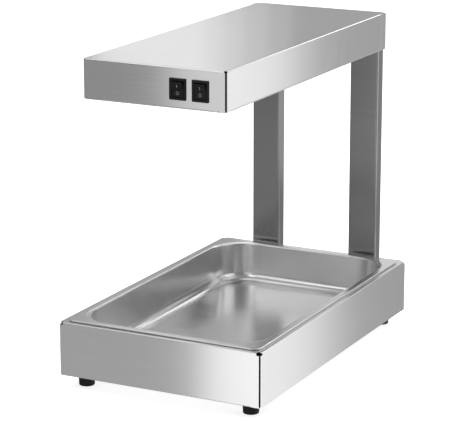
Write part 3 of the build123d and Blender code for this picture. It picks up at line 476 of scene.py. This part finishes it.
def mottled_metal(name, color, roughness, speck=350.0, mottle=0.06, bump=0.05, warm=None):
    """Plain metal: fine specks over broad patches, which may run to a second colour."""
    material, tree, metal, place = new_finish(name)
    metal.inputs["Metallic"].default_value = 1.0
    specks = clouded(tree, place, speck, 4.0)
    patches = clouded(tree, place, 28.0, 3.0)
    blend = mixed(tree, "FLOAT", 0.6, specks, patches)
    dark = [c * (1 - mottle) for c in color]
    light = [c * (1 + mottle) for c in (warm or color)]
    tree.links.new(tinted(tree, blend, dark, light), metal.inputs["Base Color"])
    tree.links.new(between(tree, blend, roughness - 0.06, roughness + 0.06),
                   metal.inputs["Roughness"])
    roughened(tree, metal, specks, bump)
    return material


def turned(bm, outline, place, steps=24):
    """A turned shape from its (radius, height) outline, closed where it meets the axis."""
    verts = [bm.verts.new((radius, 0.0, height)) for radius, height in outline]
    edges = [bm.edges.new(pair) for pair in zip(verts, verts[1:])]
    before = set(bm.faces)
    bmesh.ops.spin(bm, geom=verts + edges, cent=(0, 0, 0), axis=(0, 0, 1),
                   angle=math.radians(360), steps=steps, use_merge=True)
    made = {v for f in bm.faces if f not in before for v in f.verts}
    bmesh.ops.transform(bm, matrix=place, verts=list(made))


def lying_within(bm, height, reach):
    """The faces that lie flat at a height and within a reach of the upright axis."""
    return [f for f in bm.faces if all(abs(v.co.z - height) < level_slack / 10
            and v.co.xy.length < reach * 1.01 for v in f.verts)]


def cross_screw(bm, outline, place, recess=0.0021, slot=0.0009, depth=0.0014):
    """A turned screw, head up, with a cross recess pressed into its head. It is made apart and
    then added, so that its cuts reach no other screw."""
    top = outline[0][1]
    piece = bmesh.new()
    turned(piece, [(recess, top)] + outline + [(0.0, outline[-1][1])], Matrix.Identity(4))
    bmesh.ops.remove_doubles(piece, verts=piece.verts, dist=level_slack)
    open_edges = [e for e in piece.edges if e.is_boundary]
    bmesh.ops.contextual_create(piece, geom=open_edges)
    for way in ((1, 0, 0), (0, 1, 0)):
        for side in (-1, 1):
            flat = lying_within(piece, top, recess)
            parts = set(flat) | {e for f in flat for e in f.edges} | {
                v for f in flat for v in f.verts}
            bmesh.ops.bisect_plane(piece, geom=list(parts), plane_no=way,
                                   plane_co=Vector(way) * side * slot / 2)
    pressed = [f for f in lying_within(piece, top, recess)
               if min(abs(c) for c in f.calc_center_median().xy) < slot / 2]
    made = bmesh.ops.extrude_face_region(piece, geom=pressed)["geom"]
    bmesh.ops.delete(piece, geom=pressed, context="FACES_ONLY")
    bmesh.ops.translate(piece, vec=(0, 0, -depth),
                        verts=[g for g in made if isinstance(g, bmesh.types.BMVert)])
    bmesh.ops.transform(piece, matrix=place, verts=piece.verts)
    loose = bpy.data.meshes.new("screw")
    piece.to_mesh(loose)
    piece.free()
    bm.from_mesh(loose)
    bpy.data.meshes.remove(loose)


mill_steel = mottled_metal("mill_finish_plate", (0.72, 0.72, 0.72), 0.36)
zinc = mottled_metal("bright_zinc", (0.74, 0.75, 0.74), 0.28, warm=(0.80, 0.78, 0.70))
dress(mill_steel, "base_bottom_plate")
screw_radius = 0.00375
screw_shank = 0.002
screw_length = 0.008
flush_screw = [(screw_radius, 0.0), (screw_shank, -0.002), (screw_shank, -screw_length)]
side_screws_back = 0.080
end_screws_out = 0.080
screws_low, screws_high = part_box("bottom_plate_screws")
row_x = screws_high.x - screw_radius
row_y = (screws_high.y - screws_low.y) / 2 - screw_radius
mid_y = (screws_high.y + screws_low.y) / 2
facing_down = Matrix.Rotation(math.radians(180), 4, "X")
plate_screws = bmesh.new()
for side in (-1, 1):
    for end in (-1, 1):
        for x, y in ((row_x, row_y - side_screws_back), (end_screws_out, row_y)):
            place = Matrix.Translation((side * x, mid_y + end * y, screws_low.z))
            cross_screw(plate_screws, flush_screw, place @ facing_down)
finished_piece("plate_screws_cross", plate_screws, zinc, "chassis", ["bottom_plate_screws"])

# ------------------------------------------------------------------ feet
# Four black rubber feet, a little narrower at the toe, with a moulded bead
# round the top and a deep recess for the screw that holds each one.
def moulding(name, color, roughness, grain, bump, shine=0.5):
    """Moulded plastic or rubber: fine pebbled skin, broad sheen changes, paler worn edges."""
    material, tree, skin, place = new_finish(name)
    skin.inputs["Specular IOR Level"].default_value = shine
    pebbles = clouded(tree, place, grain, 3.0)
    sheen = clouded(tree, place, 60.0, 4.0)
    plain = tinted(tree, sheen, [c * 0.85 for c in color], [c * 1.15 for c in color])
    worn = (*[c * 1.6 + 0.01 for c in color], 1)
    paler = mixed(tree, "RGBA", near_edges(tree, 0.0006, 0.5, 0.85), plain, worn)
    tree.links.new(paler, skin.inputs["Base Color"])
    tree.links.new(between(tree, sheen, roughness - 0.05, roughness + 0.05),
                   skin.inputs["Roughness"])
    roughened(tree, skin, pebbles, bump)
    return material


def eased_line(points, radii, steps):
    """An open line through (across, height) points, its corners rounded to the radii."""
    line = [Vector(points[0])]
    for before, here, after, radius in zip(points, points[1:], points[2:], radii):
        here = Vector(here)
        back = (Vector(before) - here).normalized()
        on = (Vector(after) - here).normalized()
        turn = back.angle(on)
        reach = radius / math.tan(turn / 2)
        hub = here + (back + on).normalized() * radius / math.sin(turn / 2)
        start = (here + back * reach - hub).normalized()
        end = (here + on * reach - hub).normalized()
        for k in range(steps + 1):
            line.append(hub + start.slerp(end, k / steps) * radius)
    line.append(Vector(points[-1]))
    return line


rubber = moulding("black_rubber_foot", (0.006, 0.006, 0.006), 0.6, 900.0, 0.25, shine=0.25)
feet_low, feet_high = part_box("rubber_feet")
foot_radius = 0.013
toe_radius = 0.012
recess_radius = 0.006
recess_top = 0.008
screw_way = 0.0027
foot_profile = eased_line(
    [(recess_radius, recess_top), (recess_radius, 0.0), (toe_radius, 0.0), (0.0127, 0.0145),
     (0.0121, 0.0152), (0.0128, 0.0159), (foot_radius, feet_high.z), (screw_way, feet_high.z)],
    [0.0006, 0.0013, 0.0002, 0.0003, 0.0002, 0.0003], 4)
foot_profile += [Vector((screw_way, recess_top)), Vector((recess_radius, recess_top))]
feet = bmesh.new()
for x in (feet_low.x + foot_radius, feet_high.x - foot_radius):
    for y in (feet_low.y + foot_radius, feet_high.y - foot_radius):
        turned(feet, foot_profile, Matrix.Translation((x, y, 0.0)), steps=32)
bmesh.ops.remove_doubles(feet, verts=feet.verts, dist=level_slack)
finished_piece("feet_moulded", feet, rubber, "chassis", ["rubber_feet"],
               smooth=40.0)
dress(zinc, "foot_screws", "foot_nuts")

# ------------------------------------------------------------------ pan
# The lift-out gastronorm pan: one deep-drawn piece of thin stainless steel
# with its rim's edge curled under, a rolled mouth, leaning walls and a broad
# round cove at their foot.
drawn_steel = grained_steel("drawn_stainless", (0.76, 0.76, 0.76), (40, 40, 40), 0.0,
                            strength=0.015, depth=0.004)
pan_gauge = 0.0008
rim_corner = 0.014
rim_round = 0.0012
rim_height = 0.0027
rim_curl = 0.003             # how far the edge turns in under the rim
rim_inner = 0.0125           # from the rim's edge to the mouth
mouth_round = 0.0035
wall_lean = 0.007            # how far a wall comes in on its way down
cove_round = 0.016
cove_reach = 0.04            # from a wall's foot to the flat of the floor
pan_corner = 0.058
crown = 0.0002               # fall of the rim outwards and of the floor's edge inwards
rim_top = pan_high.z
floor_top = pan_low.z + pan_gauge
pan_profile = eased_line(
    [(rim_curl, rim_top - rim_height), (0.0, rim_top - rim_height), (0.0, rim_top - crown),
     (rim_inner, rim_top), (rim_inner + wall_lean, floor_top + crown),
     (rim_inner + wall_lean + cove_reach, floor_top)],
    [rim_round, rim_round, mouth_round, cove_round], 8)
pan_width = 2 * pan_high.x
pan_length = pan_high.y - pan_low.y
# Under the rim the corners keep even with its edge; over it they grow to those of the walls.
basin = bmesh.new()
rings = []
for inset, z in pan_profile:
    if inset <= rim_curl and z < rim_top - rim_height / 2:
        radius = rim_corner - inset
    elif inset < rim_inner:
        radius = rim_corner + (pan_corner - rim_corner) * max(0.0, inset / rim_inner)
    else:
        radius = pan_corner - (inset - rim_inner)
    rings.append(ring_of(basin, pan_width - inset * 2, pan_length - inset * 2, radius, 12,
                         Matrix.Translation((0.0, pan_mid, z))))
for upper, lower in zip(rings, rings[1:]):
    bmesh.ops.bridge_loops(basin, edges=upper + lower)
bmesh.ops.contextual_create(basin, geom=rings[-1])
finished_piece("pan_drawn", basin, drawn_steel, "pan", ["gn_pan"],
               wall=pan_gauge, smooth=60.0)

# ------------------------------------------------------------------ base heater
# Under the pan: a tray of dull aluminised sheet on two rails, the sheathed
# element clipped onto it, and a thermal limiter between the runs.
aluminised = mottled_metal("aluminised_sheet", (0.60, 0.61, 0.62), 0.46, speck=180.0,
                           mottle=0.10, bump=0.10)
sheath = mottled_metal("heated_sheath", (0.30, 0.27, 0.25), 0.42, speck=260.0, mottle=0.18,
                       warm=(0.36, 0.35, 0.40))
tinned_brass = mottled_metal("tinned_brass", (0.74, 0.60, 0.32), 0.30, mottle=0.08,
                             warm=(0.80, 0.68, 0.42))
matte_black = moulding("matte_moulding", (0.035, 0.035, 0.036), 0.5, 700.0, 0.2)
dress(aluminised, "tray_rails", "heater_tray")
dress(sheath, "base_element")
dress(zinc, "element_clips")
dress(matte_black, "thermal_limiter")
dress(tinned_brass, "element_terminals", "limiter_tabs")

# ------------------------------------------------------------------ base electrics
# A terminal block and an earth stud on the bottom plate, and the cable gland
# through the rear wall, with a locknut inside it.
dress(matte_black, "terminal_block", "cable_gland", "gland_locknut")
dress(tinned_brass, "terminal_screws", "earth_stud", "earth_nut")

# ------------------------------------------------------------------ posts
# Two rectangular tubes of brushed stainless steel with rounded edges, grained
# lengthwise, bolted behind the base and the hood and plugged at their feet. Their
# steel is coloured far darker than the covers': painted shade for the dark they mirror.
# painted shade: a base colour of 0.33, against the covers' 0.76, stands in for the dark the
# tubes mirror
post_steel_painted_dark = grained_steel("brushed_tube_painted_dark", (0.33, 0.33, 0.33), (14, 14, 700), 0.2,
                           strength=0.05)
across_grain(post_steel_painted_dark, (1.0, 0.01, 0.0))
hood_low, hood_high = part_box("hood_shell")
tube_round = 0.003
tube_wall = 0.0015
rivet_nut_hole = 0.009
hood_bolt_heights = (0.013, 0.051)
bolt_heights = [base_low.z + up for up in base_bolt_heights]
bolt_heights += [hood_low.z + up for up in hood_bolt_heights]
for side, name in ((-1, "post_left"), (1, "post_right")):
    tube = bmesh.new()
    foot = Matrix.Translation((side * post_x, (post_low.y + post_high.y) / 2, post_low.z))
    foot_ring = ring_of(tube, post_high.x - post_low.x, post_high.y - post_low.y, tube_round, 6,
                        foot)
    fold_on(tube, foot_ring, (0, 0, post_high.z - post_low.z))
    holes = [(side * post_x, z, rivet_nut_hole) for z in bolt_heights]
    if side < 0:
        holes += [(loom_x, low.z + loom_height, loom_hole) for low in (base_low, hood_low)]
    rings = [round_hole(tube, width, facing_back(x, post_low.y, z)) for x, z, width in holes]
    pierce(tube, biggest_at(tube, 1, post_low.y), rings)
    finished_piece(name + "_tube", tube, post_steel_painted_dark, "chassis", [name],
                   wall=tube_wall, edge=cut_edge)
dress(matte_black, "post_end_caps")
dress(zinc, "rivet_nuts", "post_bolts")
dress(rubber, "loom_grommets")

# ------------------------------------------------------------------ hood cover
# The hood's cover, folded like the base's from one brushed sheet, with two
# upright holes in front for the switches; its top runs back over the posts.
switch_low, switch_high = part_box("switch_housing_left")
switch_far_low, switch_far_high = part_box("switch_housing_right")
switch_z = (switch_low.z + switch_high.z) / 2
switch_xs = [(switch_low.x + switch_high.x) / 2, (switch_far_low.x + switch_far_high.x) / 2]
hood_fold = 0.002
hood_relief = (0.0045, 0.0021)
hood_flange = 0.012
cutout_size = (0.0224, 0.0284)
cutout_round = 0.0004
hood, rounded = folded_cover(hood_low, hood_high, hood_flange, hood_relief, wall_end=base_high.y)
cutouts = [ring_of(hood, *cutout_size, cutout_round, 2, facing_back(x, hood_low.y, switch_z))
           for x in switch_xs]
pierce(hood, biggest_at(hood, 1, hood_low.y), cutouts)
eased(hood, rounded, hood_fold)
finished_piece("hood_cover", hood, cover_steel, "chassis", ["hood_shell"],
               wall=gauge, edge=cut_edge)

# ------------------------------------------------------------------ hood rear cap
# The strip that closes the hood behind the posts: a rear wall with two short
# wings, their lower corners cut off, and a flange between the posts. Four
# pan-head screws hold it.
cap_low, cap_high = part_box("hood_rear_cap")
chamfer = 0.004
cap_flange = 0.0132
post_gap = 0.001
cap_screw_heights = (0.015, 0.045)
gap_half = post_low.x - post_gap
inner_y = cap_high.y - chamfer
upper_z = cap_low.z + chamfer
cap = bmesh.new()
sheet_grid(cap, [cap_low.x, -gap_half, gap_half, cap_high.x], [cap_low.z, upper_z, cap_high.z],
           0.0)
bmesh.ops.transform(cap, verts=cap.verts, matrix=facing_back(0.0, cap_high.y, 0.0))
cut_away = [f for f in cap.faces if abs(f.calc_center_median().x) > gap_half
            and f.calc_center_median().z < upper_z]
bmesh.ops.delete(cap, geom=cut_away, context="FACES")
bmesh.ops.delete(cap, geom=[e for e in cap.edges if not e.link_faces], context="EDGES")
wing_folds = lying_at(cap.edges, 0, cap_low.x) + lying_at(cap.edges, 0, cap_high.x)
lip_folds = lying_at(cap.edges, 2, cap_low.z)
near = fold_on(cap, wing_folds, (0, -chamfer, 0))
fold_on(cap, near, (0, cap_low.y - inner_y, 0))
wing_low = [e for e in lying_at(cap.edges, 2, upper_z)
            if max(v.co.y for v in e.verts) < inner_y + level_slack]
fold_on(cap, wing_low, (0, 0, -chamfer))
for x in (cap_low.x, cap_high.x):
    spots = [(x, cap_high.y, upper_z), (x, inner_y, upper_z), (x, inner_y, cap_low.z)]
    corner = [min(cap.verts, key=lambda v: (v.co - Vector(spot)).length) for spot in spots]
    bmesh.ops.contextual_create(cap, geom=corner)
fold_on(cap, lip_folds, (0, -cap_flange, 0))
eased(cap, wing_folds, hood_fold)
finished_piece("rear_cap_folded", cap, cover_steel, "chassis", ["hood_rear_cap"],
               wall=gauge, edge=cut_edge)
pan_head = [(0.0029, 0.0019), (0.0035, 0.0014), (screw_radius, 0.0008), (screw_radius, 0.0),
            (screw_shank, 0.0), (screw_shank, -screw_length)]
cap_screws = bmesh.new()
facing_rear = Matrix.Rotation(math.radians(-90), 4, "X")
for side in (-1, 1):
    for up in cap_screw_heights:
        place = Matrix.Translation((side * post_x, hood_high.y, hood_low.z + up))
        cross_screw(cap_screws, pan_head, place @ facing_rear)
finished_piece("cap_screws_cross", cap_screws, zinc, "chassis", ["cap_screws"])

# ------------------------------------------------------------------ hood underside
# A flat plate with the long heat opening, screwed up under the hood's
# flanges, and the bulkhead that the posts are bolted to.
dress(cover_steel, "hood_floor", "hood_bulkhead")
screws_low, screws_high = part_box("hood_floor_screws")
heat_mid = 0.282             # from the hood's front to the middle of the opening
floor_screws = bmesh.new()
for x in (screws_low.x + screw_radius, screws_high.x - screw_radius):
    for y in (screws_low.y + screw_radius, hood_low.y + heat_mid, screws_high.y - screw_radius):
        place = Matrix.Translation((x, y, screws_low.z))
        cross_screw(floor_screws, flush_screw, place @ facing_down)
finished_piece("floor_screws_cross", floor_screws, zinc, "chassis", ["hood_floor_screws"])

# ------------------------------------------------------------------ reflector and heaters
# A polished aluminium reflector under its heat shield, and two quartz tubes
# in ceramic ends with a close coil of resistance wire inside each.
def clear_quartz(name):
    """Clear glass with faint lines along it, as in drawn tube."""
    material, tree, glass, place = new_finish(name)
    glass.inputs["Transmission Weight"].default_value = 1.0
    glass.inputs["IOR"].default_value = 1.46
    drawn = linked(tree, "ShaderNodeMapping", Vector=place, Scale=(500, 20, 500))
    lines = clouded(tree, drawn.outputs["Vector"], 1.0, 3.0)
    tree.links.new(tinted(tree, lines, (0.92, 0.92, 0.91), (0.98, 0.98, 0.98)),
                   glass.inputs["Base Color"])
    tree.links.new(between(tree, lines, 0.02, 0.07), glass.inputs["Roughness"])
    return material


mirror_sheet = mottled_metal("polished_reflector", (0.86, 0.86, 0.87), 0.14, speck=90.0,
                             mottle=0.03, bump=0.12)
dress(mirror_sheet, "reflector")
dress(aluminised, "heat_shield")
dress(clear_quartz("clear_quartz"), "quartz_tube_left", "quartz_tube_right")
ceramic = moulding("unglazed_ceramic", (0.74, 0.71, 0.65), 0.75, 500.0, 0.3)
dress(ceramic, "ceramic_ends")
dress(tinned_brass, "tube_pins")
wire = mottled_metal("resistance_wire", (0.40, 0.35, 0.31), 0.45, mottle=0.12)
coils_low, coils_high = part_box("heating_coils")
wire_radius = 0.0004
coil_pitch = 0.0026
turn_steps = 10
coil_radius = (coils_high.z - coils_low.z) / 2 - wire_radius
coil_z = (coils_high.z + coils_low.z) / 2
coils = bmesh.new()
for x in (coils_low.x + wire_radius + coil_radius, coils_high.x - wire_radius - coil_radius):
    middle = Vector((x, coils_low.y + wire_radius, coil_z))
    start = bmesh.ops.create_circle(coils, segments=5, radius=wire_radius)["verts"]
    bmesh.ops.translate(coils, verts=start, vec=middle + Vector((coil_radius, 0, 0)))
    bmesh.ops.spin(coils, geom=start + list({e for v in start for e in v.link_edges}),
                   cent=middle, axis=(0, 1, 0), dvec=(0, coil_pitch / turn_steps, 0),
                   angle=math.radians(360), steps=turn_steps)
wound = finished_piece("heating_coils_wound", coils, wire, "chassis", ["heating_coils"],
                       smooth=80.0)
repeat = wound.modifiers.new("turns", "ARRAY")
repeat.count = int((coils_high.y - coils_low.y - 2 * wire_radius) / coil_pitch)
repeat.use_relative_offset = False
repeat.use_constant_offset = True
repeat.constant_offset_displace = (0.0, coil_pitch, 0.0)
repeat.use_merge_vertices = True
repeat.merge_threshold = wire_radius / 20

# ------------------------------------------------------------------ wire guard
# Fifteen cross wires welded under three long ones, resting on the underside
# plate round the heat opening and held there by four bent clips.
guard_steel = mottled_metal("guard_wire", (0.66, 0.66, 0.66), 0.25)
dress(guard_steel, "wire_guard")
dress(zinc, "guard_clips")

# ------------------------------------------------------------------ switches
# Two snap-in rocker switches of glossy black plastic: a bezel with a body
# behind the panel, and a rocker on its own pivot with pale I and O marks.
gloss_black = moulding("gloss_moulding", (0.003, 0.003, 0.003), 0.2, 300.0, 0.02, shine=0.25)
mark_paint = moulding("pale_marks", (0.15, 0.15, 0.15), 0.45, 900.0, 0.05, shine=0.25)
panel = hood_low.y
bezel_front = switch_low.y
pivot_y = panel + 0.001
tilt = math.radians(9.0)     # of the rocker at rest, and of each slope from its valley
rocker_radius = 0.0116
rocker_half = 0.0091         # half its width
rocker_back = 0.004
rocker_round = 0.0004
valley = 0.0026              # from the pivot forwards to the bottom of the valley
mark_height = 0.00006
mark_sink = 0.00002
mark_out = 0.0052            # from the valley to the middle of a mark
bar_size = (0.0011, 0.0046)
bar_round = 0.0003
ring_inner = 0.0016
ring_outer = 0.0024
# The housing from its back round to its well: each ring's width, height, corner and place.
housing_rings = [(0.0220, 0.0280, 0.0004, switch_high.y),
                 (0.0220, 0.0280, 0.0004, panel + 0.00005),
                 (0.0270, 0.0320, 0.0015, panel),
                 (0.0270, 0.0320, 0.0015, bezel_front + 0.0008),
                 (0.0265, 0.0315, 0.0013, bezel_front + 0.0002),
                 (0.0255, 0.0305, 0.0010, bezel_front),
                 (0.0194, 0.0244, 0.0004, bezel_front + 0.0002),
                 (0.0190, 0.0240, 0.0002, bezel_front + 0.0005),
                 (0.0190, 0.0240, 0.0002, panel + 0.009)]


def switch_housing(x):
    """The bezel, the body behind the panel and the rocker's well, as one closed shell."""
    shell = bmesh.new()
    rings = [ring_of(shell, width, height, radius, 3, facing_back(x, y, switch_z))
             for width, height, radius, y in housing_rings]
    for outer, inner in zip(rings, rings[1:]):
        bmesh.ops.bridge_loops(shell, edges=outer + inner)
    for end in (rings[0], rings[-1]):
        bmesh.ops.contextual_create(shell, geom=end)
    return shell


def rocker(pivot):
    """A drum on its side, cut flat behind and to a shallow valley in front, its edges eased.
    The upper half is made first and mirrored."""
    half = bmesh.new()
    drum = bmesh.ops.create_circle(half, segments=64, radius=rocker_radius, cap_ends=True)
    on_its_side = Matrix.Rotation(math.radians(90), 4, "Y")
    bmesh.ops.transform(half, verts=drum["verts"],
                        matrix=Matrix.Translation((-rocker_half, 0, 0)) @ on_its_side)
    for spot, out in (((0, 0, 0), (0, 0, -1)), ((0, rocker_back, 0), (0, 1, 0)),
                      ((0, -valley, 0), (0, -math.cos(tilt), -math.sin(tilt)))):
        everything = half.verts[:] + half.edges[:] + half.faces[:]
        bmesh.ops.bisect_plane(half, geom=everything, plane_co=spot, plane_no=out,
                               clear_outer=True)
    made = bmesh.ops.extrude_face_region(half, geom=half.faces[:])["geom"]
    bmesh.ops.translate(half, vec=(2 * rocker_half, 0, 0),
                        verts=[g for g in made if isinstance(g, bmesh.types.BMVert)])
    cut = [f for f in half.faces if all(abs(v.co.z) < level_slack / 10 for v in f.verts)]
    bmesh.ops.delete(half, geom=cut, context="FACES")
    bmesh.ops.mirror(half, geom=half.verts[:] + half.edges[:] + half.faces[:], axis="Z",
                     merge_dist=level_slack)
    bmesh.ops.recalc_face_normals(half, faces=half.faces)
    crisp = [e for e in half.edges if len(e.link_faces) == 2
             and e.calc_face_angle() > math.radians(30)]
    eased(half, crisp, rocker_round, 2)
    bmesh.ops.transform(half, verts=half.verts, matrix=pivot)
    return half


def rocker_marks(pivot):
    """A bar on the rocker's upper slope and a ring on its lower one, standing up a little."""
    marks = bmesh.new()
    upper = pivot @ Matrix.Translation((0, -valley, 0)) @ Matrix.Rotation(tilt, 4, "X")
    lower = pivot @ Matrix.Translation((0, -valley, 0)) @ Matrix.Rotation(-tilt, 4, "X")
    bar = ring_of(marks, *bar_size, bar_round, 2, upper @ facing_back(0.0, mark_sink, mark_out))
    bar_top = fold_on(marks, bar, upper.to_3x3() @ Vector((0, -mark_height, 0)))
    bmesh.ops.contextual_create(marks, geom=bar_top)
    turned(marks, [(ring_inner, 0.0), (ring_inner, mark_height), (ring_outer, mark_height),
                   (ring_outer, 0.0)], lower @ facing_back(0.0, mark_sink, -mark_out))
    return marks


for x, hand in zip(switch_xs, ("left", "right")):
    body = f"switch_rocker_{hand}"
    pivot = Matrix.Translation((x, pivot_y, switch_z)) @ Matrix.Rotation(tilt, 4, "X")
    finished_piece(f"switch_housing_{hand}_moulded", switch_housing(x), gloss_black, "chassis",
                   [f"switch_housing_{hand}"], smooth=40.0)
    finished_piece(f"rocker_{hand}_moulded", rocker(pivot), gloss_black, body,
                   [f"rocker_{hand}"], smooth=30.0)
    finished_piece(f"rocker_{hand}_marks", rocker_marks(pivot), mark_paint, body, [])
dress(tinned_brass, "switch_terminals")

# ------------------------------------------------------------------ wiring loom
# The conductors' woven black sleeve, from the terminal block through the
# left post to the switches.
def woven_sleeve(name):
    """Dark threads that cross at a right angle, each standing up a little."""
    material, tree, sleeve, place = new_finish(name)
    sleeve.inputs["Sheen Weight"].default_value = 0.2
    threads = []
    for turn in (0.785, -0.785):
        drawn = linked(tree, "ShaderNodeMapping", Vector=place, Rotation=(turn, turn, turn))
        threads.append(linked(tree, "ShaderNodeTexWave", Vector=drawn.outputs["Vector"],
                              Scale=260.0, Distortion=0.5).outputs["Fac"])
    weave = joined(tree, "MAXIMUM", *threads)
    tree.links.new(tinted(tree, weave, (0.020, 0.019, 0.019), (0.060, 0.056, 0.055)),
                   sleeve.inputs["Base Color"])
    tree.links.new(between(tree, weave, 0.75, 0.55), sleeve.inputs["Roughness"])
    roughened(tree, sleeve, weave, 0.5, distance=0.0003)
    return material


dress(woven_sleeve("woven_sleeve"), "wiring_loom")
